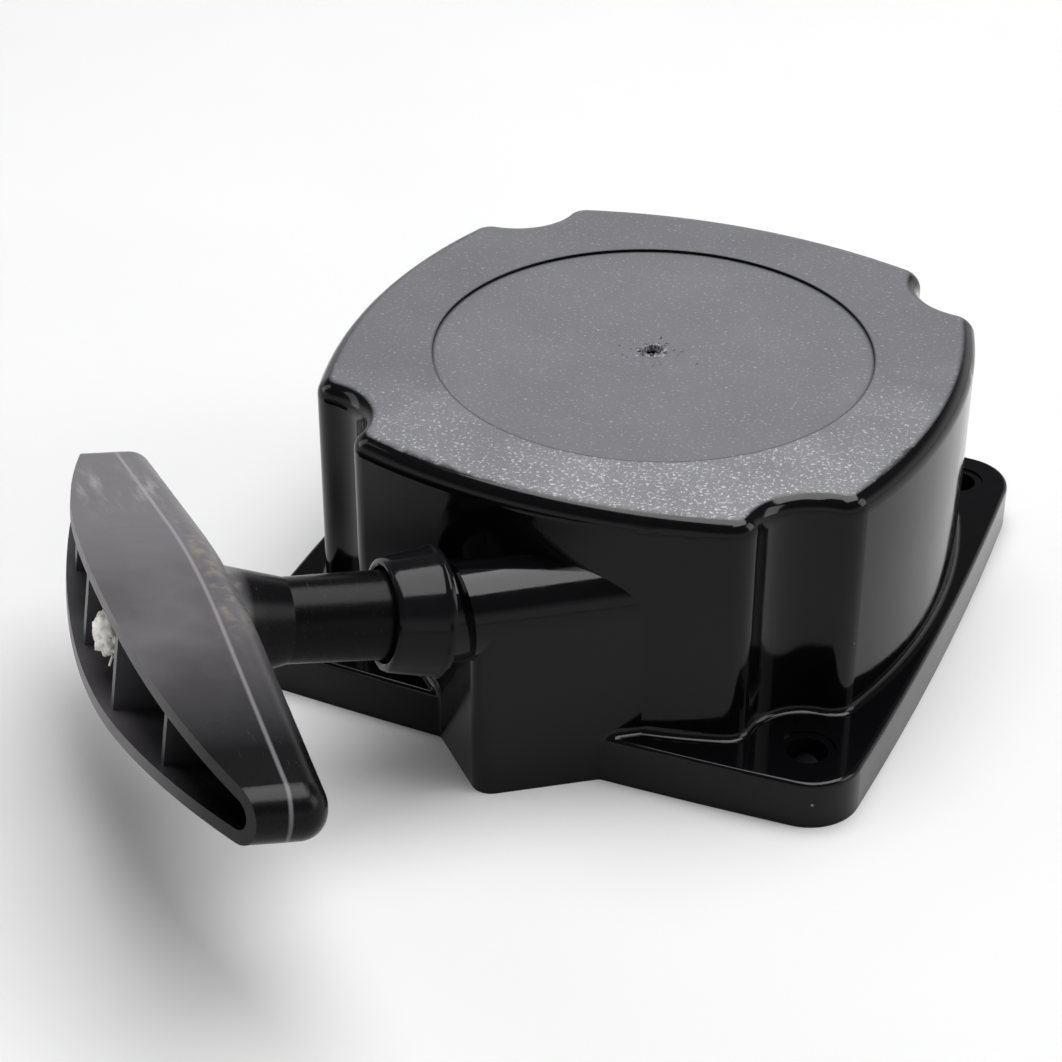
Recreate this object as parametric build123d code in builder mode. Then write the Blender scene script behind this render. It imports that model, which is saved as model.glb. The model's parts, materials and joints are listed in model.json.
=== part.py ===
from build123d import *
import math
import os

os.makedirs("parts", exist_ok=True)

# Recoil starter, in millimetres. The origin is on the pulley axis in the flange's underside, and +Z
# points out of the engine. The flange's sides run along X and Y.

# Housing
housing_height = 44.4
wall = 2.5
roof_bottom = housing_height - wall
flange_height = 7.7
flange_plate = 2.5
flange_half = 50.0
flange_corner_half = 48.4
flange_corner_radius = 8.0
rim_wall = 2.4
rim_edge_radius = 0.8
wall_root_radius = 1.2
cup_half = 47.9
cup_side_radius = 92.0
scallop_radius = 9.3
scallop_edge_radius = 4.0
lip_radius = 2.8
disc_radius = 34.0
disc_depth = 0.5
screw_offset = 40.5
screw_hole_radius = 3.0
screw_boss_radius = 6.5
screw_ring_radius = 4.3
screw_ring_depth = 0.3
pocket_start = 23.0
rib_reach = 15.0
gate_radius = 1.5
gate_depth = 1.0
insert_radius = 3.6
insert_length = 12.0
bite = 0.5  # how far one volume of a moulding runs into the next

# Rope route
rope_radius = 1.75
rope_level = 27.9
rope_offset = 40.3
rope_heading = 216.0
pull_heading = 223.4
pull_rise = 9.4
grip_swivel = 3.7
guide_travel = 41.8
guide_inset = 1.5
guide_drop = 0.6
rope_start = 18.2
rope_bend_radius = 30.0

# Nozzle
tube_radius = 7.2
nozzle_end = 45.3
nozzle_end_heading = 226.0
nozzle_edge_radius = 3.0
nozzle_core_top = 17.5
neck_radius = 7.4
neck_length = 10.0
nozzle_front_length = 38.0
nozzle_end_length = 31.0
nozzle_foot = 30.0
bore_start = 8.0
bore_stop = 3.0
rope_bore_radius = 3.2
spigot_radius = 5.2
spigot_length = 6.0

# Rope guide
guide_length = 8.3
guide_base_radius = 9.6
guide_mouth_radius = 8.0
guide_bore_radius = 2.7
guide_entry_radius = 4.3
seat_depth = 4.6
stem_gap = 0.3
mouth_chamfer = 0.6

# Pull grip, measured along the pull direction from the guide's base
stem_seat_radius = 6.5
stem_bar_radius = 6.1
flare_start = 22.5
flare_radius = 8.6
bar_bottom = 30.2
bar_parting = 35.8
bar_bottom_radius = 3.5
bar_crest = 49.7
rim_arc_radius = 137.0
bar_half_thickness = 8.8
bar_crown_radius = 119.0
bar_end_centre = 46.4
bar_end_radius = 3.8
parting_growth = 0.3
bar_wall = 1.7
channel_floor = 33.0
knot_pad_top = 39.8
rib_places = (-27.0, -9.0, 9.0, 27.0)
rib_thickness = 1.4
rib_setback = 1.3
rib_bite = 0.4
rope_hole_radius = 2.3
grip_washer_radius = 4.6
grip_washer_bore = 2.1
grip_washer_thickness = 0.8
knot_radius = 4.3
knot_gap = 0.1

# Pulley stack, all on the Z axis
post_radius = 6.2
post_end = 19.0
bush_radius = 7.6
running_gap = 0.05
hub_radius = 11.4
hub_top = 40.0
boss_radius = 9.0
boss_end = 19.4
pulley_radius = 43.6
groove_radius = 28.4
groove_half_width = 2.1
flange_top = 31.3
flange_bottom = 24.2
pocket_top = 28.4
pocket_rim = 2.2
pulley_edge_radius = 0.5
hub_foot = 1.6
pulley_ribs = 8
pulley_rib_thickness = 1.8
pawl_boss_radius = 4.2
knot_boss_radius = 5.4
knot_pocket_inset = 5.2
knot_pocket_heading = 150
knot_pocket_radius = 3.7
knot_pocket_depth = 6.0
pulley_knot_radius = 3.5
pulley_knot_height = 5.2
pulley_knot_edge = 1.5
coil_gap = 0.3
coil_radius = rope_offset + rope_radius
case_radius = 38.0
case_wall = 1.5
case_plate = 1.2
cover_bottom = 33.0
cover_thickness = 0.9
spring_bottom = 34.4
spring_top = 40.2
spring_thickness = 0.6
spring_turns = 9
spring_inner_radius = 12.6
spring_outer_radius = 35.6
cover_screw_radius = 41.0
cover_boss_radius = 2.9
cover_hole_radius = 1.7
cover_ear_length = 8.0
cover_ear_width = 7.0
cover_thread_radius = 1.2
cover_thread_length = 6.0
cover_head_radius = 2.5
cover_head_height = 1.2
cover_cross_length = 2.6
cover_cross_width = 0.6
cover_cross_depth = 0.7

# Pawls and friction drive
pawl_pivot_radius = 15.5
pawl_pin_radius = 1.75
pawl_top = 23.1
pawl_bottom = 18.5
pawl_pin_end = 18.3
pawl_peg_radius = 1.5
pawl_peg_end = 16.4
pawl_swing = 30.0
cam_top = 18.1
cam_bottom = 16.9
cam_radius = 23.5
cam_bore_radius = 4.9
sleeve_radius = 4.5
sleeve_end = 14.2
thrust_radius = 8.6
thrust_bottom = 18.2
screw_radius = 2.5
screw_length = 10.0  # into the post
screw_flange_radius = 8.2
screw_flange_thickness = 1.2
screw_head_half = 4.0
screw_head_height = 3.6
screw_head_chamfer = 0.4
friction_coil_radius = 6.3
friction_wire_radius = 0.4
friction_pitch = 0.9
friction_turns = 1.5
friction_gap = 0.6
pawl_eye_radius = 3.95
pawl_slot_gap = 0.9
pawl_spring_level = 23.65
pawl_spring_wire = 0.3
pawl_spring_bend = 2.6



def level_vector(heading):
    """The level unit vector at this heading from +X."""
    turn = math.radians(heading)
    return Vector(math.cos(turn), math.sin(turn), 0)


rope_dir = level_vector(rope_heading)
face_normal = Vector(-rope_dir.Y, rope_dir.X, 0)
end_normal = level_vector(nozzle_end_heading)
pull_flat = level_vector(pull_heading)
rise_turn = math.radians(pull_rise)
pull_dir = pull_flat * math.cos(rise_turn) + Vector(0, 0, math.sin(rise_turn))
bar_level = Vector(-pull_flat.Y, pull_flat.X, 0)
bar_dir = bar_level.rotate(Axis((0, 0, 0), pull_dir), grip_swivel)
tangent_point = face_normal * rope_offset + Vector(0, 0, rope_level)
guide_shift = rope_dir * guide_travel - face_normal * guide_inset - Vector(0, 0, guide_drop)
guide_base = tangent_point + guide_shift
grip_side = Plane(origin=guide_base, x_dir=bar_dir, z_dir=bar_dir.cross(pull_dir))
knot_seat = knot_pad_top + grip_washer_thickness + knot_gap
knot_pocket = Vector(groove_radius - knot_pocket_inset, 0).rotate(Axis.Z, knot_pocket_heading)
cover_top = cover_bottom + cover_thickness


def along_pull(distance):
    """The plane square to the pull direction, its X along the grip's bar."""
    return Plane(origin=guide_base + pull_dir * distance, x_dir=bar_dir, z_dir=pull_dir)


def along_rope(distance):
    """The plane square to the nozzle's tube."""
    return Plane(origin=tangent_point + rope_dir * distance, x_dir=face_normal, z_dir=rope_dir)


def bowed_sides(half, corner_half):
    """The four sides of a square, bowed out from its corners."""
    with BuildLine() as sides:
        for turn in range(4):
            ThreePointArc(
                Vector(corner_half, -corner_half).rotate(Axis.Z, 90 * turn),
                Vector(half, 0).rotate(Axis.Z, 90 * turn),
                Vector(corner_half, corner_half).rotate(Axis.Z, 90 * turn),
            )
    return sides.edges()


def flange_outline(grow=0):
    """The flange's square with slightly bowed sides and rounded corners."""
    with BuildSketch() as outline:
        make_face(bowed_sides(flange_half + grow, flange_corner_half + grow))
        fillet(outline.vertices(), flange_corner_radius + grow)
    return outline.sketch


def cup_outline(grow=0):
    """The cup's bulging square, scooped round each screw."""
    side_radius = cup_side_radius + grow
    centre_shift = cup_side_radius - cup_half
    corner_half = (math.sqrt(2 * side_radius**2 - centre_shift**2) - centre_shift) / 2
    with BuildSketch() as outline:
        make_face(bowed_sides(cup_half + grow, corner_half))
        with GridLocations(2 * screw_offset, 2 * screw_offset, 2, 2):
            Circle(scallop_radius - grow, mode=Mode.SUBTRACT)
        fillet(outline.vertices(), scallop_edge_radius + grow)
    return outline.sketch


def nozzle_outline(grow=0):
    """The nozzle block in plan: its front face along the rope, its end face square to the pull."""
    front = rope_offset + tube_radius
    spread = face_normal.dot(end_normal)
    along = (nozzle_end - front * spread) / rope_dir.dot(end_normal)
    corner = face_normal * front + rope_dir * along
    into_wall = corner - rope_dir * nozzle_front_length
    end_side = corner + Vector(end_normal.Y, -end_normal.X, 0) * nozzle_end_length
    with BuildSketch() as outline:
        with BuildLine():
            Polyline(corner, into_wall, Vector(0, -nozzle_foot, 0), end_side, close=True)
        make_face()
        if grow:
            offset(amount=grow, kind=Kind.INTERSECTION)
        fillet(outline.vertices().sort_by_distance(corner)[0], nozzle_edge_radius + grow)
    return outline.sketch


def bar_outline(grow=0):
    """The grip's bar seen along the pull: flanks tangent to a crown arc and to round ends."""
    crown_centre = Vector(0, bar_half_thickness - bar_crown_radius)
    end_centre = Vector(bar_end_centre, 0)
    between = end_centre - crown_centre
    turn = math.degrees(math.acos((bar_crown_radius - bar_end_radius) / between.length))
    flank_normal = between.normalized().rotate(Axis.Z, turn)
    shoulder = crown_centre + flank_normal * bar_crown_radius
    flank_end = end_centre + flank_normal * bar_end_radius
    with BuildSketch() as outline:
        with BuildLine():
            for x, y in ((1, 1), (-1, -1)):
                ThreePointArc(
                    (-x * shoulder.X, y * shoulder.Y),
                    (0, y * bar_half_thickness),
                    (x * shoulder.X, y * shoulder.Y),
                )
                Line((x * shoulder.X, y * shoulder.Y), (x * flank_end.X, y * flank_end.Y))
                ThreePointArc(
                    (x * flank_end.X, y * flank_end.Y),
                    (x * (bar_end_centre + bar_end_radius), 0),
                    (x * flank_end.X, -y * flank_end.Y),
                )
                Line((x * flank_end.X, -y * flank_end.Y), (x * shoulder.X, -y * shoulder.Y))
        make_face()
        if grow:
            offset(amount=grow)
    return outline.sketch


# Starter housing: flange, cup, nozzle block and tube in one moulding.
with BuildPart() as nozzle_blank:
    with BuildSketch():
        add(nozzle_outline())
    extrude(amount=rope_level)
    with BuildSketch(along_rope(-5)):
        Circle(tube_radius)
    extrude(amount=guide_travel + 20)
    split(bisect_by=Plane(origin=end_normal * nozzle_end, z_dir=end_normal), keep=Keep.BOTTOM)
    with BuildSketch(along_pull(-neck_length)):
        Circle(neck_radius)
    extrude(amount=neck_length)

with BuildPart() as starter_housing:
    with BuildSketch():
        add(flange_outline())
    extrude(amount=flange_height)
    with BuildSketch():
        add(cup_outline())
    extrude(amount=housing_height)
    fillet(starter_housing.faces().sort_by(Axis.Z)[-1].edges(), lip_radius)
    add(nozzle_blank.part)
    # The flange's outer edge is rounded, and the walls run out into it with a small radius.
    rim_wire = flange_outline().wires()[0].moved(Location((0, 0, flange_height)))
    flange_level = (flange_height - 0.01, flange_height + 0.01)
    level_edges = starter_housing.edges().filter_by_position(Axis.Z, *flange_level)
    fillet([edge for edge in level_edges if rim_wire.distance_to(edge @ 0.5) < 0.05], rim_edge_radius)
    level_edges = starter_housing.edges().filter_by_position(Axis.Z, *flange_level)
    fillet([edge for edge in level_edges if rim_wire.distance_to(edge @ 0.5) > 1], wall_root_radius)
    # The flange is hollow below, with its rim, screw bosses and ribs left standing.
    with BuildSketch():
        add(flange_outline(-rim_wall))
        add(cup_outline(), mode=Mode.SUBTRACT)
        add(nozzle_outline(), mode=Mode.SUBTRACT)
        with GridLocations(2 * screw_offset, 2 * screw_offset, 2, 2):
            Circle(screw_boss_radius, mode=Mode.SUBTRACT)
            Rectangle(2 * rib_reach, rib_thickness, mode=Mode.SUBTRACT)
            Rectangle(rib_thickness, 2 * rib_reach, mode=Mode.SUBTRACT)
        Rectangle(2 * flange_half, pocket_start * 2, mode=Mode.SUBTRACT)
        Rectangle(pocket_start * 2, 2 * flange_half, mode=Mode.SUBTRACT)
    extrude(amount=flange_height - flange_plate, mode=Mode.SUBTRACT)
    # The block is cored from below, outside the cup's wall.
    with BuildSketch():
        add(nozzle_outline(-wall))
        add(cup_outline(), mode=Mode.SUBTRACT)
    extrude(amount=nozzle_core_top, mode=Mode.SUBTRACT)
    # The cup's inside.
    with BuildSketch():
        add(cup_outline(-wall))
    extrude(amount=roof_bottom, mode=Mode.SUBTRACT)
    # Centre post and the bosses for the cover's screws.
    with BuildSketch(Plane.XY.offset(post_end)):
        Circle(post_radius)
    extrude(amount=roof_bottom - post_end + bite)
    with BuildSketch(Plane.XY.offset(cover_top)):
        with PolarLocations(cover_screw_radius, 3, start_angle=30):
            Circle(cover_boss_radius)
    extrude(amount=roof_bottom - cover_top + bite)
    with BuildSketch(Plane.XY.offset(cover_top)):
        with PolarLocations(cover_screw_radius, 3, start_angle=30):
            Circle(cover_thread_radius)
    extrude(amount=cover_thread_length, mode=Mode.SUBTRACT)
    # The insert's hole in the post.
    with BuildSketch(Plane.XY.offset(post_end)):
        Circle(insert_radius)
    extrude(amount=insert_length + 2, mode=Mode.SUBTRACT)
    # Shallow round recess in the top, its gate pit, the screw holes and their ring marks.
    with BuildSketch(Plane.XY.offset(housing_height - disc_depth)):
        Circle(disc_radius)
    extrude(amount=disc_depth + 1, mode=Mode.SUBTRACT)
    with BuildSketch(Plane.XY.offset(housing_height - disc_depth - gate_depth)):
        Circle(gate_radius)
    extrude(amount=gate_depth + 1, mode=Mode.SUBTRACT)
    with BuildSketch():
        with GridLocations(2 * screw_offset, 2 * screw_offset, 2, 2):
            Circle(screw_hole_radius)
    extrude(amount=flange_height + 1, mode=Mode.SUBTRACT)
    with BuildSketch(Plane.XY.offset(flange_height - screw_ring_depth)):
        with GridLocations(2 * screw_offset, 2 * screw_offset, 2, 2):
            Circle(screw_ring_radius)
    extrude(amount=1, mode=Mode.SUBTRACT)
    # Rope bore through the tube, and the socket for the guide's spigot.
    with BuildSketch(along_rope(bore_start)):
        Circle(rope_bore_radius)
    extrude(amount=guide_travel - bore_start - bore_stop, mode=Mode.SUBTRACT)
    with BuildSketch(along_pull(-spigot_length)):
        Circle(spigot_radius)
    extrude(amount=spigot_length + 1, mode=Mode.SUBTRACT)
starter_housing.part.label = "starter_housing"
export_step(starter_housing.part, "parts/starter_housing.step")

# Rope guide: a tapered collar with a spigot, a rope hole and a seat for the grip's stem.
with BuildPart() as rope_guide:
    with BuildSketch(along_pull(-spigot_length)):
        Circle(spigot_radius)
    extrude(amount=spigot_length + 1)
    with BuildSketch(along_pull(0)):
        Circle(guide_base_radius)
    with BuildSketch(along_pull(guide_length)):
        Circle(guide_mouth_radius)
    loft()
    with BuildSketch(along_pull(0)):
        Circle(guide_bore_radius)
    extrude(amount=guide_length, mode=Mode.SUBTRACT)
    with BuildSketch(along_pull(-spigot_length)):
        Circle(guide_entry_radius)
    with BuildSketch(along_pull(0)):
        Circle(guide_bore_radius)
    loft(mode=Mode.SUBTRACT)
    with BuildSketch(along_pull(guide_length - seat_depth)):
        Circle(stem_seat_radius + stem_gap)
    extrude(amount=seat_depth + 1, mode=Mode.SUBTRACT)
    round_edges = rope_guide.edges().filter_by(GeomType.CIRCLE)
    inner_mouth = round_edges.sort_by(Axis(guide_base, pull_dir))[-2:]
    chamfer(inner_mouth.sort_by(SortBy.RADIUS)[0], mouth_chamfer)
rope_guide.part.label = "rope_guide"
export_step(rope_guide.part, "parts/rope_guide.step")

# Pull grip: stem, boat-shaped bar with a U channel, knot pad and cross ribs.
with BuildPart() as pull_grip:
    with BuildSketch(along_pull(bar_parting)):
        add(bar_outline(parting_growth))
    extrude(amount=bar_bottom - bar_parting)
    bottom_face = pull_grip.faces().sort_by(Axis(guide_base, pull_dir))[0]
    fillet(bottom_face.edges(), bar_bottom_radius)
    with BuildSketch(along_pull(bar_parting)):
        add(bar_outline(parting_growth))
    with BuildSketch(along_pull(bar_crest + 1)):
        add(bar_outline())
    loft()
    # The rim follows a long arc.
    with BuildSketch(grip_side):
        with Locations((0, bar_crest - rim_arc_radius)):
            Circle(rim_arc_radius + 40)
            Circle(rim_arc_radius, mode=Mode.SUBTRACT)
    extrude(amount=20, both=True, mode=Mode.SUBTRACT)
    with BuildSketch(along_pull(channel_floor)):
        add(bar_outline(-bar_wall))
    extrude(amount=25, mode=Mode.SUBTRACT)
    # Cross ribs, set back from the rim, and the pad that the knot sits on.
    for place in rib_places:
        rib_top = bar_crest - rim_arc_radius + math.sqrt(rim_arc_radius**2 - place**2) - rib_setback
        with BuildSketch(along_pull(channel_floor - bite)):
            add(bar_outline(rib_bite - bar_wall))
            with Locations((place, 0)):
                Rectangle(rib_thickness, 4 * bar_half_thickness, mode=Mode.INTERSECT)
        extrude(amount=rib_top - channel_floor + bite)
    with BuildSketch(along_pull(channel_floor - bite)):
        add(bar_outline(rib_bite - bar_wall))
        Rectangle(2 * rib_places[2], 4 * bar_half_thickness, mode=Mode.INTERSECT)
    extrude(amount=knot_pad_top - channel_floor + bite)
    # Stem with its flare into the bar.
    with BuildSketch(along_pull(guide_length - seat_depth + 0.1)):
        Circle(stem_seat_radius)
    with BuildSketch(along_pull(flare_start)):
        Circle(stem_bar_radius)
    loft()
    with BuildSketch(along_pull(flare_start)):
        Circle(stem_bar_radius)
    with BuildSketch(along_pull(bar_bottom + 2.5)):
        Circle(flare_radius)
    loft()
    with BuildSketch(along_pull(0)):
        Circle(rope_hole_radius)
    extrude(amount=bar_crest, mode=Mode.SUBTRACT)
pull_grip.part.label = "pull_grip"
export_step(pull_grip.part, "parts/pull_grip.step")

# Grip washer, on the knot pad.
with BuildPart() as grip_washer:
    with BuildSketch(along_pull(knot_pad_top)):
        Circle(grip_washer_radius)
        Circle(grip_washer_bore, mode=Mode.SUBTRACT)
    extrude(amount=grip_washer_thickness)
grip_washer.part.label = "grip_washer"
export_step(grip_washer.part, "parts/grip_washer.step")

# Grip knot: a tight ball of rope, with a flat seat on the washer.
with BuildPart() as grip_knot:
    with Locations(along_pull(knot_seat + knot_radius - bite)):
        Sphere(knot_radius)
    split(bisect_by=along_pull(knot_seat), keep=Keep.TOP)
grip_knot.part.label = "grip_knot"
export_step(grip_knot.part, "parts/grip_knot.step")

# Rope run: from the pulley's winding through the tube and the guide to the knot.
knot_point = guide_base + pull_dir * knot_seat
run_start = tangent_point + rope_dir * rope_start
with BuildPart() as rope_run:
    with BuildLine() as route:
        FilletPolyline(run_start, guide_base, knot_point, radius=rope_bend_radius)
    with BuildSketch(Plane(origin=run_start, z_dir=guide_base - run_start)):
        Circle(rope_radius)
    sweep(path=route.wires()[0])
rope_run.part.label = "rope_run"
export_step(rope_run.part, "parts/rope_run.step")
rope_run_length = route.wires()[0].length
print("rope run", round(rope_run_length, 1), "mm, volume ratio",
      round(rope_run.part.volume / (math.pi * rope_radius**2 * rope_run_length), 4))

# Rope coil: the outer shape of the turns wound on the pulley.
with BuildPart() as rope_coil:
    with BuildSketch(Plane.XY.offset(rope_level - groove_half_width + coil_gap)):
        Circle(coil_radius)
        Circle(groove_radius + 0.1, mode=Mode.SUBTRACT)
    extrude(amount=2 * (groove_half_width - coil_gap))
rope_coil.part.label = "rope_coil"
export_step(rope_coil.part, "parts/rope_coil.step")

# Rope pulley.
with BuildPart() as rope_pulley:
    with BuildSketch(Plane.XY.offset(flange_bottom)):
        Circle(pulley_radius)
    extrude(amount=flange_top - flange_bottom)
    fillet(rope_pulley.edges().filter_by(GeomType.CIRCLE), pulley_edge_radius)
    with BuildSketch(Plane.XY.offset(rope_level - groove_half_width)):
        Circle(pulley_radius + 1)
        Circle(groove_radius, mode=Mode.SUBTRACT)
    extrude(amount=2 * groove_half_width, mode=Mode.SUBTRACT)
    with BuildSketch(Plane.XY.offset(flange_top)):
        Circle(hub_radius)
    extrude(amount=hub_top - flange_top)
    # Pockets from below, between ribs and the pawl bosses.
    with BuildSketch(Plane.XY.offset(flange_bottom)):
        Circle(groove_radius - pocket_rim)
        Circle(hub_radius + hub_foot, mode=Mode.SUBTRACT)
        with PolarLocations(20, pulley_ribs, start_angle=180 / pulley_ribs):
            Rectangle(20, pulley_rib_thickness, mode=Mode.SUBTRACT)
        with PolarLocations(pawl_pivot_radius, 2):
            Circle(pawl_boss_radius, mode=Mode.SUBTRACT)
        with Locations(knot_pocket):
            Circle(knot_boss_radius, mode=Mode.SUBTRACT)
    extrude(amount=pocket_top - flange_bottom, mode=Mode.SUBTRACT)
    with BuildSketch(Plane.XY.offset(boss_end)):
        Circle(boss_radius)
    extrude(amount=flange_bottom - boss_end + 1)
    with BuildSketch(Plane.XY.offset(boss_end - 1)):
        Circle(bush_radius)
    extrude(amount=hub_top, mode=Mode.SUBTRACT)
    with BuildSketch(Plane.XY.offset(flange_bottom - 1)):
        with PolarLocations(pawl_pivot_radius, 2):
            Circle(pawl_pin_radius)
    extrude(amount=6, mode=Mode.SUBTRACT)
    # Knot pocket, open below, with the rope's way out into the groove.
    with BuildSketch(Plane.XY.offset(flange_bottom - 1)):
        with Locations(knot_pocket):
            Circle(knot_pocket_radius)
    extrude(amount=knot_pocket_depth + 1, mode=Mode.SUBTRACT)
    with BuildSketch(Plane.XY.offset(rope_level - 2)):
        with PolarLocations(groove_radius - 1.5, 1, start_angle=knot_pocket_heading):
            Rectangle(6, 4)
    extrude(amount=4, mode=Mode.SUBTRACT)
    # Notch in the hub for the spring's inner hook.
    with BuildSketch(Plane.XY.offset(spring_bottom - 0.6)):
        with Locations((hub_radius - 0.9, 1.0)):
            Rectangle(3, 3.4)
    extrude(amount=hub_top - spring_bottom + 1.6, mode=Mode.SUBTRACT)
rope_pulley.part.label = "rope_pulley"
export_step(rope_pulley.part, "parts/rope_pulley.step")

# Pulley bush, pressed into the pulley and running on the post.
with BuildPart() as pulley_bush:
    with BuildSketch(Plane.XY.offset(boss_end + 0.3)):
        Circle(bush_radius)
        Circle(post_radius + running_gap, mode=Mode.SUBTRACT)
    extrude(amount=hub_top - boss_end - 0.6)
pulley_bush.part.label = "pulley_bush"
export_step(pulley_bush.part, "parts/pulley_bush.step")

# Pulley knot, in the pulley's pocket.
with BuildPart() as pulley_knot:
    with BuildSketch(Plane.XY.offset(flange_bottom + 0.4)):
        with Locations(knot_pocket):
            Circle(pulley_knot_radius)
    extrude(amount=pulley_knot_height)
    fillet(pulley_knot.edges().filter_by(GeomType.CIRCLE), pulley_knot_edge)
pulley_knot.part.label = "pulley_knot"
export_step(pulley_knot.part, "parts/pulley_knot.step")


# Recoil spring: a spiral ribbon of half circles about two centres, with a hook at each end.
def spiral_edge(side):
    """One edge of the ribbon, side mm off its middle line, as a list of half-turn arcs."""
    pitch = (spring_outer_radius - spring_inner_radius) / spring_turns
    start = Vector(spring_inner_radius + side, 0)
    centre_x = 0.0
    radius = spring_inner_radius + side
    for half_turn in range(2 * spring_turns):
        sign = 1 if half_turn % 2 == 0 else -1
        middle = Vector(centre_x, sign * radius)
        end = Vector(centre_x - sign * radius, 0)
        yield start, middle, end
        start = end
        radius += pitch / 2
        centre_x += sign * pitch / 2


half_ribbon = spring_thickness / 2
with BuildPart() as recoil_spring:
    with BuildSketch(Plane.XY.offset(spring_bottom)):
        with BuildLine():
            for start, middle, end in spiral_edge(-half_ribbon):
                ThreePointArc(start, middle, end)
            inner_end = end
            for start, middle, end in spiral_edge(half_ribbon):
                ThreePointArc(start, middle, end)
            Line(inner_end, end)
            Line((spring_inner_radius - half_ribbon, 0), (spring_inner_radius + half_ribbon, 0))
        make_face()
        with Locations((spring_inner_radius - 1.1, 0.1)):
            Rectangle(2.8, spring_thickness)
    extrude(amount=spring_top - spring_bottom)
recoil_spring.part.label = "recoil_spring"
export_step(recoil_spring.part, "parts/recoil_spring.step")

# Spring case: a shallow cup against the roof.
with BuildPart() as spring_case:
    with BuildSketch(Plane.XY.offset(cover_top)):
        Circle(case_radius)
    extrude(amount=roof_bottom - cover_top)
    with BuildSketch(Plane.XY.offset(cover_top)):
        Circle(case_radius - case_wall)
    extrude(amount=roof_bottom - cover_top - case_plate, mode=Mode.SUBTRACT)
    with BuildSketch(Plane.XY.offset(cover_bottom)):
        Circle(post_radius + 2)
    extrude(amount=12, mode=Mode.SUBTRACT)
spring_case.part.label = "spring_case"
export_step(spring_case.part, "parts/spring_case.step")

# Spring cover: a steel plate with three ears.
with BuildPart() as spring_cover:
    with BuildSketch(Plane.XY.offset(cover_bottom)):
        Circle(case_radius)
        with PolarLocations(cover_screw_radius - 2, 3, start_angle=30):
            Rectangle(cover_ear_length, cover_ear_width)
        Circle(hub_radius + 1.2, mode=Mode.SUBTRACT)
        with PolarLocations(cover_screw_radius, 3, start_angle=30):
            Circle(cover_hole_radius, mode=Mode.SUBTRACT)
    extrude(amount=cover_thickness)
spring_cover.part.label = "spring_cover"
export_step(spring_cover.part, "parts/spring_cover.step")

# Cover screws, three alike.
with BuildPart() as cover_screws:
    with BuildSketch(Plane.XY.offset(cover_bottom - cover_head_height)):
        with PolarLocations(cover_screw_radius, 3, start_angle=30):
            Circle(cover_head_radius)
    extrude(amount=cover_head_height)
    with BuildSketch(Plane.XY.offset(cover_bottom)):
        with PolarLocations(cover_screw_radius, 3, start_angle=30):
            Circle(cover_thread_radius)
    extrude(amount=cover_thread_length)
    with BuildSketch(Plane.XY.offset(cover_bottom - cover_head_height)):
        with PolarLocations(cover_screw_radius, 3, start_angle=30):
            Rectangle(cover_cross_length, cover_cross_width)
            Rectangle(cover_cross_width, cover_cross_length)
    extrude(amount=cover_cross_depth, mode=Mode.SUBTRACT)
cover_screws.part.label = "cover_screws"
export_step(cover_screws.part, "parts/cover_screws.step")

# Threaded insert in the post.
with BuildPart() as post_insert:
    with BuildSketch(Plane.XY.offset(post_end)):
        Circle(insert_radius)
        Circle(screw_radius, mode=Mode.SUBTRACT)
    extrude(amount=insert_length)
post_insert.part.label = "post_insert"
export_step(post_insert.part, "parts/post_insert.step")

# Thrust washer under the post.
with BuildPart() as thrust_washer:
    with BuildSketch(Plane.XY.offset(thrust_bottom)):
        Circle(thrust_radius)
        Circle(screw_radius, mode=Mode.SUBTRACT)
    extrude(amount=post_end - thrust_bottom)
thrust_washer.part.label = "thrust_washer"
export_step(thrust_washer.part, "parts/thrust_washer.step")

# Spacer sleeve round the centre screw.
with BuildPart() as spacer_sleeve:
    with BuildSketch(Plane.XY.offset(sleeve_end)):
        Circle(sleeve_radius)
        Circle(screw_radius, mode=Mode.SUBTRACT)
    extrude(amount=thrust_bottom - sleeve_end)
spacer_sleeve.part.label = "spacer_sleeve"
export_step(spacer_sleeve.part, "parts/spacer_sleeve.step")

# Centre screw: flanged hexagon head and shank.
with BuildPart() as centre_screw:
    with BuildSketch(Plane.XY.offset(sleeve_end - screw_flange_thickness)):
        Circle(screw_flange_radius)
    extrude(amount=screw_flange_thickness)
    with BuildSketch(Plane.XY.offset(sleeve_end - screw_flange_thickness - screw_head_height)):
        RegularPolygon(screw_head_half, 6, major_radius=False)
    extrude(amount=screw_head_height)
    chamfer(centre_screw.faces().sort_by(Axis.Z)[0].edges(), screw_head_chamfer)
    with BuildSketch(Plane.XY.offset(sleeve_end)):
        Circle(screw_radius)
    extrude(amount=post_end + screw_length - sleeve_end)
centre_screw.part.label = "centre_screw"
export_step(centre_screw.part, "parts/centre_screw.step")

# Friction spring: one and a half coils between the screw head and the cam plate.
with BuildPart() as friction_spring:
    with BuildLine() as coil_line:
        Helix(
            pitch=friction_pitch,
            height=friction_pitch * friction_turns,
            radius=friction_coil_radius,
            center=(0, 0, sleeve_end + friction_gap),
        )
    with BuildSketch(Plane(origin=coil_line.line @ 0, z_dir=coil_line.line % 0)):
        Circle(friction_wire_radius)
    sweep(is_frenet=True)
friction_spring.part.label = "friction_spring"
export_step(friction_spring.part, "parts/friction_spring.step")

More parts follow.
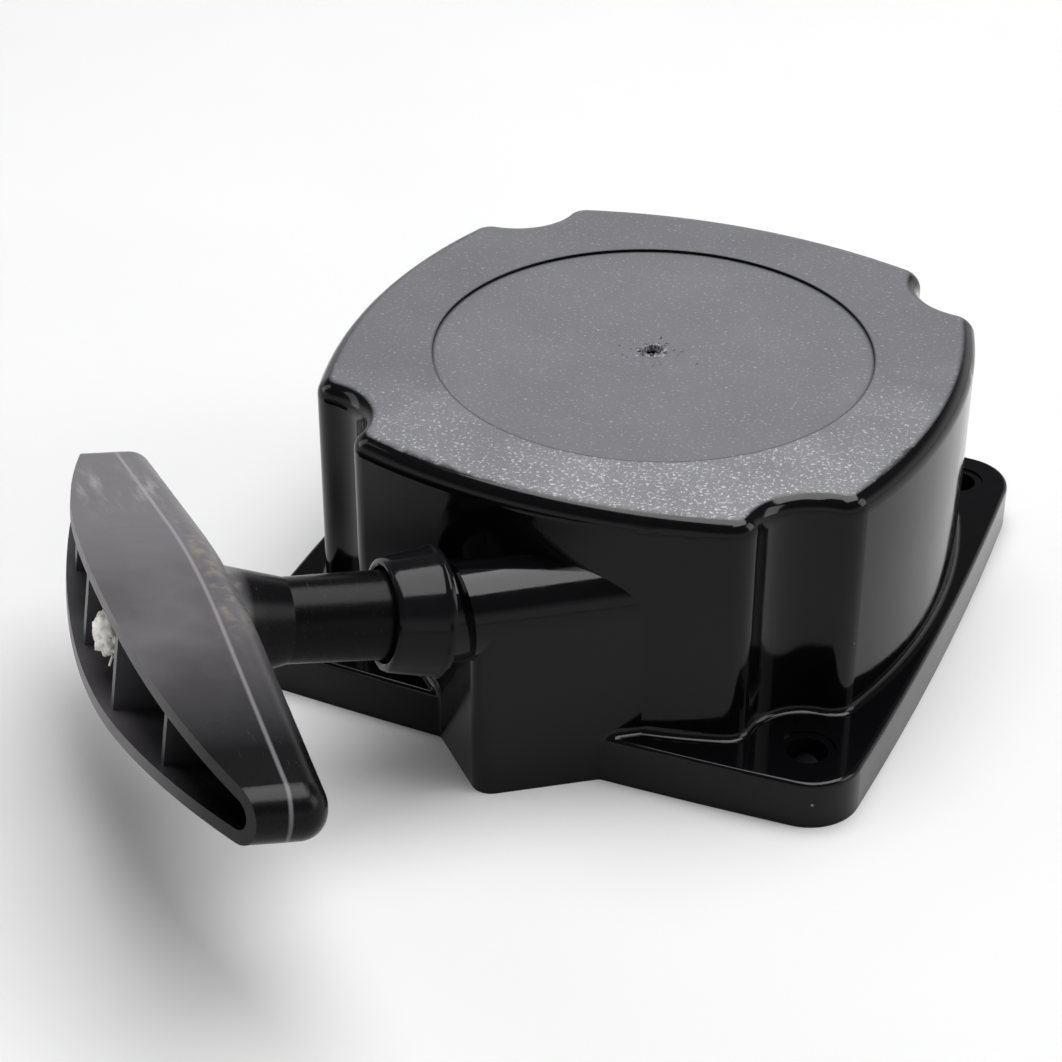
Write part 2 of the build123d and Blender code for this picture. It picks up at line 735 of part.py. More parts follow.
# Cam plate: a friction plate whose slots steer the pawls' pegs.
peg_offset = Vector(-1.5, -8.5)
pivot = Vector(pawl_pivot_radius, 0)
slot_start = pivot + peg_offset
slot_end = (pivot + peg_offset.rotate(Axis.Z, pawl_swing)).rotate(Axis.Z, -pawl_swing)
with BuildPart() as cam_plate:
    with BuildSketch(Plane.XY.offset(cam_bottom)):
        Circle(cam_radius)
        Circle(cam_bore_radius, mode=Mode.SUBTRACT)
        for turn in (0, 180):
            first = slot_start.rotate(Axis.Z, turn)
            last = slot_end.rotate(Axis.Z, turn)
            lean = math.degrees(math.atan2((last - first).Y, (last - first).X))
            with Locations((first + last) * 0.5):
                SlotCenterToCenter(
                    (last - first).length,
                    2 * (pawl_peg_radius + pawl_slot_gap),
                    rotation=lean,
                    mode=Mode.SUBTRACT,
                )
    extrude(amount=cam_top - cam_bottom)
cam_plate.part.label = "cam_plate"
export_step(cam_plate.part, "parts/cam_plate.step")

# Pawls, their pins and return springs: two of each, half a turn apart.
for number, turn in ((1, 0), (2, 180)):
    with BuildPart() as pawl:
        with BuildSketch(Plane.XY.offset(pawl_bottom)):
            with BuildLine():
                Polyline(
                    pivot + Vector(3.9, -0.5),
                    pivot + Vector(2.6, -9.0),
                    pivot + Vector(0.6, -16.8),
                    pivot + Vector(-3.6, -15.6),
                    pivot + Vector(-5.0, -9.0),
                    pivot + Vector(-3.9, 0.5),
                    close=True,
                )
            make_face()
            with Locations(pivot):
                Circle(pawl_eye_radius)
                Circle(pawl_pin_radius + running_gap, mode=Mode.SUBTRACT)
        extrude(amount=pawl_top - pawl_bottom)
        with BuildSketch(Plane.XY.offset(pawl_peg_end)):
            with Locations(pivot + peg_offset):
                Circle(pawl_peg_radius)
        extrude(amount=pawl_bottom - pawl_peg_end + bite)
    placed = pawl.part.rotate(Axis.Z, turn)
    placed.label = f"pawl_{number}"
    export_step(placed, f"parts/pawl_{number}.step")

    with BuildPart() as pawl_pin:
        with BuildSketch(Plane.XY.offset(pawl_pin_end)):
            with Locations(pivot):
                Circle(pawl_pin_radius)
        extrude(amount=flange_bottom + 4.9 - pawl_pin_end)
    placed = pawl_pin.part.rotate(Axis.Z, turn)
    placed.label = f"pawl_pin_{number}"
    export_step(placed, f"parts/pawl_pin_{number}.step")

    with BuildPart() as pawl_spring:
        bend = pawl_spring_bend
        with BuildLine(Plane.XY.offset(pawl_spring_level)) as spring_line:
            Line(pivot + Vector(bend, -9), pivot + Vector(bend, 0))
            ThreePointArc(pivot + Vector(bend, 0), pivot + Vector(0, bend), pivot + Vector(-bend, 0))
            Line(pivot + Vector(-bend, 0), pivot + Vector(-bend, -6))
        with BuildSketch(Plane(origin=pivot + Vector(bend, -9, pawl_spring_level), z_dir=(0, 1, 0))):
            Circle(pawl_spring_wire)
        sweep(path=spring_line.wires()[0])
    placed = pawl_spring.part.rotate(Axis.Z, turn)
    placed.label = f"pawl_spring_{number}"
    export_step(placed, f"parts/pawl_spring_{number}.step")
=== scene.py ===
import bpy
import bmesh
import json
import math
import random
from mathutils import Matrix, Vector

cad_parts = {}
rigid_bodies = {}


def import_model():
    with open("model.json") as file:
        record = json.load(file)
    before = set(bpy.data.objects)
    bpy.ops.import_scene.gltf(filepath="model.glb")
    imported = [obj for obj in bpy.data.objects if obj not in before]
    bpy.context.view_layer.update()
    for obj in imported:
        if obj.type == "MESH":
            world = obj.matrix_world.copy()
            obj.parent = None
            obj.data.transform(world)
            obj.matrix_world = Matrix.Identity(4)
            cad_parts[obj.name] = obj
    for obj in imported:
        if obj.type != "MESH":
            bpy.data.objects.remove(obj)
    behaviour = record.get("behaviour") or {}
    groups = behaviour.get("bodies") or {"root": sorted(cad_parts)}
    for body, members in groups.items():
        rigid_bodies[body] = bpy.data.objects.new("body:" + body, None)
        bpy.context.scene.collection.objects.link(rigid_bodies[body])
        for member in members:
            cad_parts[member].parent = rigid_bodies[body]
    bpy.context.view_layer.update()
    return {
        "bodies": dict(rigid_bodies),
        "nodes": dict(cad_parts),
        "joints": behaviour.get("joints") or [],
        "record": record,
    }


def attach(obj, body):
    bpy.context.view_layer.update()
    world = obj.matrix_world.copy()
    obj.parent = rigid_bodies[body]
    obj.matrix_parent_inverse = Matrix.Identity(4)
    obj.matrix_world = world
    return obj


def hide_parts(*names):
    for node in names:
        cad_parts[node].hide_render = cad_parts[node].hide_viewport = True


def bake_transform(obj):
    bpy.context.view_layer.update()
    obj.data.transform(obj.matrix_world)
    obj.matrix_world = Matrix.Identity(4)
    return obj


# A recoil starter on a pale table. Metres throughout, with the origin on the pulley's axis under the flange.
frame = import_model()
mm = 0.001
print("frame loaded")

# Headings in degrees from +X, lengths in millimetres.
pull = {
    "heading": 223.4, "rise": 9.4, "swivel": 3.7, "ropeHeading": 216.0, "ropeOffset": 40.3,
    "travel": 41.8, "inset": 1.5, "drop": 0.6, "level": 27.9,
}


def headingVector(degrees, rise=0.0):
    flat = math.cos(math.radians(rise))
    turn = math.radians(degrees)
    return Vector((math.cos(turn) * flat, math.sin(turn) * flat, math.sin(math.radians(rise))))


ropeWay = headingVector(pull["ropeHeading"])
ropeSide = Vector((-ropeWay.y, ropeWay.x, 0))
pullWay = headingVector(pull["heading"], pull["rise"])
barLevel = Vector((-math.sin(math.radians(pull["heading"])), math.cos(math.radians(pull["heading"])), 0))
barWay = Matrix.Rotation(math.radians(pull["swivel"]), 3, pullWay) @ barLevel
tangentPoint = (ropeSide * pull["ropeOffset"] + Vector((0, 0, pull["level"]))) * mm
guideShift = ropeWay * pull["travel"] - ropeSide * pull["inset"] - Vector((0, 0, pull["drop"]))
guideBase = tangentPoint + guideShift * mm
# Local frame of the pull: X along the grip's bar, Y square to both, Z along the pull.
pullFrame = Matrix((barWay, pullWay.cross(barWay), pullWay)).transposed().to_4x4()
pullFrame.translation = guideBase


def hexColour(text):
    parts = [int(text[place:place + 2], 16) / 255 for place in (1, 3, 5)]
    linear = [value / 12.92 if value <= 0.04045 else ((value + 0.055) / 1.055) ** 2.4 for value in parts]
    return (*linear, 1.0)


def addNode(tree, kind, inputs=None, **settings):
    node = tree.nodes.new(kind)
    for name, value in settings.items():
        setattr(node, name, value)
    for name, value in (inputs or {}).items():
        if isinstance(value, bpy.types.NodeSocket):
            tree.links.new(value, node.inputs[name])
        else:
            node.inputs[name].default_value = value
    return node


def startMaterial(name):
    material = bpy.data.materials.new(name)
    material.use_nodes = True
    tree = material.node_tree
    tree.nodes.clear()
    output = addNode(tree, "ShaderNodeOutputMaterial")
    shader = addNode(tree, "ShaderNodeBsdfPrincipled")
    tree.links.new(shader.outputs["BSDF"], output.inputs["Surface"])
    place = addNode(tree, "ShaderNodeTexCoord").outputs["Object"]
    return material, tree, shader, place


def noiseOf(tree, place, size, detail=2.0, rough=0.5):
    # size is the width of one blotch or grain, in millimetres
    return addNode(tree, "ShaderNodeTexNoise", {"Vector": place, "Scale": 1 / (size * mm), "Detail": detail,
                                                "Roughness": rough}).outputs["Fac"]


def spread(tree, value, low, high, outLow=0.0, outHigh=1.0):
    return addNode(tree, "ShaderNodeMapRange", {"Value": value, "From Min": low, "From Max": high,
                                                "To Min": outLow, "To Max": outHigh}).outputs["Result"]


def mixColour(tree, share, first, second):
    node = addNode(tree, "ShaderNodeMix", data_type="RGBA")
    for socket, value in ((node.inputs[0], share), (node.inputs[6], first), (node.inputs[7], second)):
        if isinstance(value, bpy.types.NodeSocket):
            tree.links.new(value, socket)
        else:
            socket.default_value = value
    return node.outputs[2]


def calc(tree, operation, first, second=0.0, third=None):
    node = addNode(tree, "ShaderNodeMath", operation=operation)
    for number, value in enumerate((first, second, third)):
        if isinstance(value, bpy.types.NodeSocket):
            tree.links.new(value, node.inputs[number])
        elif value is not None:
            node.inputs[number].default_value = value
    return node.outputs[0]


def product(tree, first, *others):
    for other in others:
        first = calc(tree, "MULTIPLY", first, other)
    return first


def mixValue(tree, share, first, second):
    return addNode(tree, "ShaderNodeMix", {0: share, 2: first, 3: second}).outputs[0]


def pullPlace(tree, place):
    # The place in the pull's own frame.
    inward = pullFrame.inverted()
    return addNode(tree, "ShaderNodeMapping", {"Vector": place, "Rotation": inward.to_euler(),
                                               "Location": inward.translation}).outputs["Vector"]


def distanceFromAxis(tree, axes):
    return calc(tree, "SQRT", calc(tree, "ADD", product(tree, axes["X"], axes["X"]),
                                   product(tree, axes["Y"], axes["Y"])))


def bumpOf(tree, height, depth, strength=1.0, under=None):
    # depth in millimetres
    inputs = {"Height": height, "Distance": depth * mm, "Strength": strength}
    if under is not None:
        inputs["Normal"] = under
    return addNode(tree, "ShaderNodeBump", inputs).outputs["Normal"]


# Moulded black nylon: polished mould walls that mirror softly, and a spark-eroded top painted grey with pale
# specks: partly the grain's own tone, partly painted sheen and painted glints.
housingLook = {
    "wallColour": "#050506", "discToneAndSheenColour": "#57575b", "ringToneAndSheenColour": "#535357", "frontSheenColour": "#6a6a6d",
    "grainGlintColour": "#c6c6c8", "cloudColour": "#303034", "cornerShadowColour": "#0c0c0d", "dustColour": "#8b8a86",
    "wallRoughness": 0.10, "topRoughness": 0.44, "topStart": 43.2, "topFull": 43.85, "discRadius": 34.0,
    "frontX": 0.39, "frontY": 0.92, "grain": 0.50, "grainDepth": 0.06, "flow": 15.0, "dustSpacing": 5.0,
    "ior": 1.28,
}


def housingNylon():
    look = housingLook
    material, tree, shader, place = startMaterial("Moulded nylon, polished walls and grained top")
    axes = addNode(tree, "ShaderNodeSeparateXYZ", {"Vector": place}).outputs
    facing = addNode(tree, "ShaderNodeNewGeometry").outputs["Normal"]
    upward = addNode(tree, "ShaderNodeSeparateXYZ", {"Vector": facing}).outputs["Z"]
    isTop = calc(tree, "MULTIPLY", spread(tree, axes["Z"], look["topStart"] * mm, look["topFull"] * mm),
                 spread(tree, upward, 0.93, 0.995))
    grain = noiseOf(tree, place, look["grain"], 3.0, 0.6)
    flow = noiseOf(tree, place, look["flow"], 2.0, 0.55)
    blotch = noiseOf(tree, place, 2.6, 3.0, 0.6)
    radius = distanceFromAxis(tree, axes)
    # The ring outside the disc shows more pale grain specks and is painted lighter, most of all on the side
    # towards the nozzle's front: painted sheen.
    isRing = spread(tree, radius, look["discRadius"] * mm, (look["discRadius"] + 0.3) * mm)
    forward = calc(tree, "SUBTRACT", product(tree, axes["X"], look["frontX"]),
                   product(tree, axes["Y"], look["frontY"]))
    forward = calc(tree, "ADD", forward, spread(tree, flow, 0.3, 0.7, -0.008, 0.008))
    lighterPatch = calc(tree, "MULTIPLY", isRing, spread(tree, forward, 0.004, 0.044))
    # Pale grain specks: partly the grain, partly painted glints.
    grainGlints = spread(tree, calc(tree, "ADD", grain, calc(tree, "MULTIPLY", lighterPatch, 0.05)), 0.60, 0.70)
    grainGlints = calc(tree, "MULTIPLY", grainGlints, calc(tree, "MULTIPLY_ADD", lighterPatch, 0.32, 0.2))
    # The top's grey is partly the grained finish's own tone, partly painted sheen.
    topShade = mixColour(tree, isRing, hexColour(look["discToneAndSheenColour"]), hexColour(look["ringToneAndSheenColour"]))
    # Painted sheen: the ring's front is mixed towards a lighter grey.
    topShade = mixColour(tree, calc(tree, "MULTIPLY", lighterPatch, 0.75), topShade, hexColour(look["frontSheenColour"]))
    cloudy = spread(tree, flow, 0.35, 0.68, 0.12, 0.0)
    topShade = mixColour(tree, cloudy, topShade, hexColour(look["cloudColour"]))
    topShade = mixColour(tree, grainGlints, topShade, hexColour(look["grainGlintColour"]))
    # A dark line painted in the disc's corner: painted shadow, with some grime.
    nearEdge = spread(tree, radius, (look["discRadius"] - 0.5) * mm, look["discRadius"] * mm)
    corner = product(tree, nearEdge, calc(tree, "SUBTRACT", 1.0, isRing))
    topShade = mixColour(tree, calc(tree, "MULTIPLY", corner, 0.8), topShade, hexColour(look["cornerShadowColour"]))
    shade = mixColour(tree, isTop, hexColour(look["wallColour"]), topShade)
    # Fine pale dust, a few specks to the square centimetre.
    specks = addNode(tree, "ShaderNodeTexVoronoi", {"Vector": place, "Scale": 1 / (look["dustSpacing"] * mm),
                                                    "Randomness": 1.0})
    chance = addNode(tree, "ShaderNodeSeparateColor", {"Color": specks.outputs["Color"]}).outputs["Red"]
    speck = spread(tree, specks.outputs["Distance"], 0.055, 0.030)
    dust = product(tree, speck, spread(tree, chance, 0.62, 0.66))
    shade = mixColour(tree, calc(tree, "MULTIPLY", dust, 0.6), shade, hexColour(look["dustColour"]))
    tree.links.new(shade, shader.inputs["Base Color"])
    wallGloss = spread(tree, blotch, 0.3, 0.7, look["wallRoughness"] - 0.03, look["wallRoughness"] + 0.04)
    topGloss = spread(tree, flow, 0.3, 0.7, look["topRoughness"] + 0.02, look["topRoughness"] - 0.02)
    tree.links.new(mixValue(tree, isTop, wallGloss, topGloss), shader.inputs["Roughness"])
    relief = calc(tree, "MULTIPLY", grain, calc(tree, "MULTIPLY_ADD", isTop, 0.96, 0.04))
    waves = bumpOf(tree, flow, 0.12, 0.5)  # slight sink and ripple of a moulded wall
    tree.links.new(bumpOf(tree, relief, look["grainDepth"], 0.9, waves), shader.inputs["Normal"])
    shader.inputs["IOR"].default_value = look["ior"]
    return material


# Torn nylon at the gate: stress-whitened, rough and dry.
scarLook = {"dark": "#0d0d0e", "pale": "#77767a", "roughness": 0.45}


def tornNylon():
    look = scarLook
    material, tree, shader, place = startMaterial("Torn nylon at the gate")
    tone = noiseOf(tree, place, 0.5, 3.0, 0.6)
    pale = spread(tree, tone, 0.42, 0.66)
    tree.links.new(mixColour(tree, pale, hexColour(look["dark"]), hexColour(look["pale"])),
                   shader.inputs["Base Color"])
    tree.links.new(bumpOf(tree, noiseOf(tree, place, 0.3, 3.0), 0.08, 0.8), shader.inputs["Normal"])
    shader.inputs["Roughness"].default_value = look["roughness"]
    return material


# Polished black acetal: deep black with a clear mirror-like surface.
guideLook = {"dark": "#070708", "light": "#0e0e10", "ior": 1.45, "specular": 0.16}


def guideAcetal():
    look = guideLook
    material, tree, shader, place = startMaterial("Polished acetal collar")
    haze = noiseOf(tree, place, 3.0, 3.0, 0.6)
    tree.links.new(mixColour(tree, haze, hexColour(look["dark"]), hexColour(look["light"])),
                   shader.inputs["Base Color"])
    tree.links.new(spread(tree, haze, 0.3, 0.7, 0.09, 0.17), shader.inputs["Roughness"])
    tree.links.new(bumpOf(tree, noiseOf(tree, place, 9.0), 0.10, 0.4), shader.inputs["Normal"])
    shader.inputs["IOR"].default_value = look["ior"]
    shader.inputs["Specular IOR Level"].default_value = look["specular"]
    return material


# Satin polypropylene: soft grey sheen, hairline scratches, pale scuffs and a little dust.
gripLook = {"colour": "#3b393c", "lighterPatch": "#474548", "scuff": "#7b7977", "dust": "#6e665b", "glossShadeColour": "#060607",
            "seam": "#8a888a", "stroke": "#4b494b", "parting": 35.8, "roughness": 0.38, "glossRoughness": 0.25,
            "specular": 0.5, "glossSpecular": 0.14, "stemSpecular": 0.08, "ior": 1.48}


def gripPolypropylene():
    look = gripLook
    material, tree, shader, place = startMaterial("Satin polypropylene grip")
    local = pullPlace(tree, place)
    axes = addNode(tree, "ShaderNodeSeparateXYZ", {"Vector": local}).outputs
    cloud = noiseOf(tree, place, 14.0, 4.0, 0.6)
    fine = noiseOf(tree, place, 0.7, 3.0, 0.6)
    stretched = addNode(tree, "ShaderNodeMapping", {"Vector": local, "Scale": (0.12, 1.0, 1.0),
                                                    "Rotation": (0.0, 0.35, 0.2)}).outputs["Vector"]
    hairs = noiseOf(tree, stretched, 0.5, 4.0, 0.7)
    wear = spread(tree, cloud, 0.35, 0.7)
    shade = mixColour(tree, wear, hexColour(look["colour"]), hexColour(look["lighterPatch"]))
    # Pale scuffs on the upper broad face, nearer one end.
    patch = product(tree, spread(tree, axes["X"], -0.018, -0.030), spread(tree, axes["X"], -0.046, -0.036),
                    spread(tree, axes["Y"], 0.001, 0.005))
    scuffs = product(tree, patch, spread(tree, noiseOf(tree, stretched, 2.2, 4.0, 0.7), 0.50, 0.66))
    strokes = calc(tree, "MULTIPLY", spread(tree, hairs, 0.62, 0.72), 0.35)
    # The stem and one end are glossier than the rest, and are painted darker as painted shade.
    polishedAndShaded = calc(tree, "MAXIMUM", spread(tree, axes["Z"], 0.0308, 0.0285),
                    spread(tree, axes["X"], 0.012, 0.040))
    # Painted shade: the stem and one end are mixed towards near-black.
    shade = mixColour(tree, polishedAndShaded, shade, hexColour(look["glossShadeColour"]))
    shade = mixColour(tree, calc(tree, "MULTIPLY", strokes, 0.4), shade, hexColour(look["stroke"]))
    shade = mixColour(tree, calc(tree, "MULTIPLY", scuffs, 0.5), shade, hexColour(look["scuff"]))
    # The mould's parting line, rubbed pale.
    offLine = calc(tree, "ABSOLUTE", calc(tree, "SUBTRACT", axes["Z"], look["parting"] * mm))
    seam = spread(tree, offLine, 0.00038, 0.00012)
    shade = mixColour(tree, calc(tree, "MULTIPLY", seam, 0.35), shade, hexColour(look["seam"]))
    # Brownish dust along the rounded back beside the stem.
    dusty = product(tree, spread(tree, axes["Z"], 0.0355, 0.0345), spread(tree, axes["Z"], 0.0290, 0.0310),
                    spread(tree, calc(tree, "ABSOLUTE", axes["X"]), 0.020, 0.010),
                    spread(tree, noiseOf(tree, place, 2.2, 4.0, 0.65), 0.46, 0.62))
    shade = mixColour(tree, calc(tree, "MULTIPLY", dusty, 0.5), shade, hexColour(look["dust"]))
    tree.links.new(shade, shader.inputs["Base Color"])
    isStem = spread(tree, axes["Z"], 0.0300, 0.0260)
    mirror = mixValue(tree, polishedAndShaded, look["specular"], look["glossSpecular"])
    mirror = mixValue(tree, isStem, mirror, look["stemSpecular"])
    tree.links.new(mirror, shader.inputs["Specular IOR Level"])
    sheen = spread(tree, cloud, 0.3, 0.7, look["roughness"] - 0.07, look["roughness"] + 0.07)
    sheen = mixValue(tree, polishedAndShaded, sheen, look["glossRoughness"])
    tree.links.new(calc(tree, "ADD", sheen, calc(tree, "MULTIPLY", strokes, 0.2)), shader.inputs["Roughness"])
    soft = bumpOf(tree, cloud, 0.16, 0.5)
    grained = bumpOf(tree, fine, 0.012, 0.6, soft)
    tree.links.new(bumpOf(tree, hairs, 0.02, 0.5, grained), shader.inputs["Normal"])
    shader.inputs["IOR"].default_value = look["ior"]
    return material


# Plain moulded or turned finishes of the inner parts.
def innerPlastic(name, light, dark, roughness):
    material, tree, shader, place = startMaterial(name)
    cloud = noiseOf(tree, place, 6.0, 4.0, 0.6)
    grain = noiseOf(tree, place, 0.5, 3.0, 0.6)
    tree.links.new(mixColour(tree, spread(tree, cloud, 0.3, 0.7), hexColour(dark), hexColour(light)),
                   shader.inputs["Base Color"])
    tree.links.new(spread(tree, grain, 0.3, 0.7, roughness - 0.06, roughness + 0.08),
                   shader.inputs["Roughness"])
    tree.links.new(bumpOf(tree, grain, 0.02, 0.6, bumpOf(tree, cloud, 0.1, 0.4)), shader.inputs["Normal"])
    shader.inputs["IOR"].default_value = 1.5
    return material


def innerMetal(name, light, dark, roughness, lay=None):
    material, tree, shader, place = startMaterial(name)
    if lay == "turned":  # fine rings about the Z axis
        axes = addNode(tree, "ShaderNodeSeparateXYZ", {"Vector": place}).outputs
        rings = calc(tree, "DIVIDE", distanceFromAxis(tree, axes), 0.35 * mm)
        marks = addNode(tree, "ShaderNodeTexNoise", {"W": rings, "Scale": 1.0, "Detail": 3.0},
                        noise_dimensions="1D").outputs["Fac"]
    else:
        along = addNode(tree, "ShaderNodeMapping", {"Vector": place, "Scale": (0.15, 1.0, 1.0)})
        marks = noiseOf(tree, along.outputs["Vector"], 0.35, 4.0, 0.65)
    cloud = noiseOf(tree, place, 5.0, 4.0, 0.65)
    tree.links.new(mixColour(tree, spread(tree, cloud, 0.3, 0.7), hexColour(dark), hexColour(light)),
                   shader.inputs["Base Color"])
    tree.links.new(spread(tree, marks, 0.3, 0.7, roughness - 0.07, roughness + 0.10),
                   shader.inputs["Roughness"])
    tree.links.new(bumpOf(tree, marks, 0.008, 0.7), shader.inputs["Normal"])
    shader.inputs["Metallic"].default_value = 1.0
    return material


# Braided nylon: off-white yarns crossing in a diamond weave, dull with a faint silky sheen.
ropeLook = {"radius": 1.75, "light": "#dcd7cc", "dark": "#8f897d", "soil": "#b7b0a2", "carriers": 8, "pitch": 9.0}


def braidedNylon(name, onPull):
    material, tree, shader, place = startMaterial(name)
    if onPull:  # turns about the pull line, so the weave keeps its pitch while the rope pays out
        parts = addNode(tree, "ShaderNodeSeparateXYZ", {"Vector": pullPlace(tree, place)}).outputs
        turn = calc(tree, "ARCTAN2", parts["Y"], parts["X"])
        run = calc(tree, "MULTIPLY", parts["Z"], 2 * math.pi / (ropeLook["pitch"] * mm))
    else:
        weave = addNode(tree, "ShaderNodeUVMap", uv_map="ropeTurns").outputs["UV"]
        parts = addNode(tree, "ShaderNodeSeparateXYZ", {"Vector": weave}).outputs
        turn = calc(tree, "MULTIPLY", parts["X"], 2 * math.pi)
        run = calc(tree, "MULTIPLY", parts["Y"], 2 * math.pi)
    half = ropeLook["carriers"] / 2
    left = calc(tree, "SINE", calc(tree, "MULTIPLY", calc(tree, "ADD", turn, run), half))
    right = calc(tree, "SINE", calc(tree, "MULTIPLY", calc(tree, "SUBTRACT", turn, run), half))
    height = calc(tree, "MULTIPLY", left, right)
    yarn = noiseOf(tree, place, 0.22, 3.0, 0.7)
    soil = noiseOf(tree, place, 3.0, 3.0, 0.6)
    weaveShading = spread(tree, height, -0.7, 0.5)
    # Painted shade: the weave's hollows are darker, its raised yarns lighter.
    shade = mixColour(tree, weaveShading, hexColour(ropeLook["dark"]), hexColour(ropeLook["light"]))
    shade = mixColour(tree, spread(tree, soil, 0.5, 0.75, 0.0, 0.35), shade, hexColour(ropeLook["soil"]))
    tree.links.new(shade, shader.inputs["Base Color"])
    woven = bumpOf(tree, height, 0.22, 0.9)
    tree.links.new(bumpOf(tree, yarn, 0.05, 0.6, woven), shader.inputs["Normal"])
    shader.inputs["Roughness"].default_value = 0.68
    shader.inputs["Sheen Weight"].default_value = 0.25
    return material


# Loose nylon filament of the frayed end: bright, slightly translucent white.
def frayedNylon():
    material, tree, shader, place = startMaterial("Frayed nylon filament")
    tone = noiseOf(tree, place, 0.8, 3.0, 0.6)
    tree.links.new(mixColour(tree, spread(tree, tone, 0.3, 0.7), hexColour("#c9c6be"), hexColour("#f4f2ee")),
                   shader.inputs["Base Color"])
    tree.links.new(bumpOf(tree, noiseOf(tree, place, 0.15, 2.0), 0.03, 0.6), shader.inputs["Normal"])
    shader.inputs["Roughness"].default_value = 0.55
    shader.inputs["Sheen Weight"].default_value = 0.2
    shader.inputs["Subsurface Weight"].default_value = 0.08
    shader.inputs["Subsurface Radius"].default_value = (0.0006, 0.0006, 0.0006)
    return material


finish = {
    "housing": housingNylon(),
    "scar": tornNylon(),
    "guide": guideAcetal(),
    "grip": gripPolypropylene(),
    "ropeRun": braidedNylon("Braided nylon rope, paid out", True),
    "rope": braidedNylon("Braided nylon rope, wound and knotted", False),
    "fray": frayedNylon(),
    "pulley": innerPlastic("Natural moulded nylon pulley", "#cfc9ba", "#bdb6a5", 0.45),
    "case": innerPlastic("Black polypropylene spring case", "#1c1c1e", "#131315", 0.42),
    "blued": innerMetal("Blued spring steel", "#59606e", "#363b47", 0.28),
    "zinc": innerMetal("Zinc-plated pressed steel", "#c6c6bf", "#a3a39b", 0.34),
    "turned": innerMetal("Zinc-plated turned steel", "#c9c8c1", "#a6a59d", 0.27, "turned"),
    "sinter": innerMetal("Sintered steel pawl", "#8a8783", "#64625f", 0.46),
    "brass": innerMetal("Turned brass", "#d0a964", "#a67f41", 0.26, "turned"),
}
print("materials made")

nodeFinish = {
    "starter_housing": "housing", "rope_guide": "guide", "pull_grip": "grip", "rope_pulley": "pulley",
    "spring_case": "case", "spring_cover": "zinc", "cover_screws": "zinc", "recoil_spring": "blued",
    "post_insert": "brass", "pulley_bush": "brass", "thrust_washer": "turned", "spacer_sleeve": "turned",
    "centre_screw": "turned", "friction_spring": "blued", "pawl_pin_1": "turned", "pawl_pin_2": "turned",
    "pawl_spring_1": "blued", "pawl_spring_2": "blued", "pawl_1": "sinter", "pawl_2": "sinter",
    "cam_plate": "zinc", "grip_washer": "zinc", "rope_run": "ropeRun", "grip_knot": "fray",
    "pulley_knot": "fray", "rope_coil": "fray",
}
for nodeName, finishName in nodeFinish.items():
    slots = frame["nodes"][nodeName].data.materials
    slots.clear()
    slots.append(finish[finishName])


def makePiece(name, mesh, bodyName, finishName, slotName, *replaced):
    for polygon in mesh.polygons:
        polygon.use_smooth = True
    piece = bpy.data.objects.new(name, mesh)
    bpy.context.scene.collection.objects.link(piece)
    mesh.materials.append(finish[finishName])
    if replaced:
        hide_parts(*replaced)
    if bodyName:
        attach(piece, bodyName)
    return piece


def ropeTube(shape, points, radius, around=16, pitch=9.0):
    # Adds a tube along the points, with a map of turns round it against pitches along it.
    layer = shape.loops.layers.uv.get("ropeTurns") or shape.loops.layers.uv.new("ropeTurns")
    ring = bmesh.ops.create_circle(shape, segments=around, radius=radius)["verts"]
    share = {vert: math.atan2(vert.co.y, vert.co.x) / (2 * math.pi) % 1.0 for vert in ring}
    along = {vert: 0.0 for vert in ring}
    heading = (points[1] - points[0]).normalized()
    side = heading.orthogonal().normalized()
    base = Matrix((side, heading.cross(side), heading)).transposed().to_4x4()
    base.translation = points[0]
    bmesh.ops.transform(shape, matrix=base, verts=ring)
    firstRing = ring
    edges = list({edge for vert in ring for edge in vert.link_edges})
    walked = 0.0
    for number in range(1, len(points)):
        step = points[number] - points[number - 1]
        after = points[min(number + 1, len(points) - 1)] - points[number]
        newHeading = (step.normalized() + (after if after.length else step).normalized()).normalized()
        walked += step.length
        made = bmesh.ops.extrude_edge_only(shape, edges=edges)["geom"]
        ring = [item for item in made if isinstance(item, bmesh.types.BMVert)]
        edges = [item for item in made if isinstance(item, bmesh.types.BMEdge)]
        for vert in ring:
            parent = next(edge.other_vert(vert) for edge in vert.link_edges if edge.other_vert(vert) in share)
            share[vert] = share[parent]
        for vert in ring:
            along[vert] = walked / (pitch * mm)
        bmesh.ops.translate(shape, vec=step, verts=ring)
        lean = heading.rotation_difference(newHeading).to_matrix()
        bmesh.ops.rotate(shape, cent=points[number], matrix=lean, verts=ring)
        heading = newHeading
    caps = []
    for end in (firstRing, ring):
        caps += bmesh.ops.contextual_create(shape, geom=end)["faces"]
    for face in {face for vert in share for face in vert.link_faces if face not in caps}:
        shares = [share[loop.vert] for loop in face.loops]
        for loop in face.loops:
            wrap = 1.0 if max(shares) - min(shares) > 0.5 and share[loop.vert] < 0.5 else 0.0
            loop[layer].uv = (share[loop.vert] + wrap, along[loop.vert])
    return shape


def meshOf(shape, name, sharpAngle=None):
    bmesh.ops.recalc_face_normals(shape, faces=shape.faces)
    if sharpAngle is not None:
        for edge in shape.edges:
            edge.smooth = not (edge.is_manifold and edge.calc_face_angle(0) > math.radians(sharpAngle))
    mesh = bpy.data.meshes.new(name)
    shape.to_mesh(mesh)
    shape.free()
    return mesh


def bentRoute(start, corner, end, bend, steps):
    # Straight in, a round bend at the corner, straight out.
    before = corner + (start - corner).normalized() * bend
    after = corner + (end - corner).normalized() * bend
    points = [start.lerp(before, step / steps) for step in range(steps)]
    for step in range(steps):
        share = step / steps
        points.append(before.lerp(corner, share).lerp(corner.lerp(after, share), share))
    return points + [after.lerp(end, step / steps) for step in range(steps + 1)]


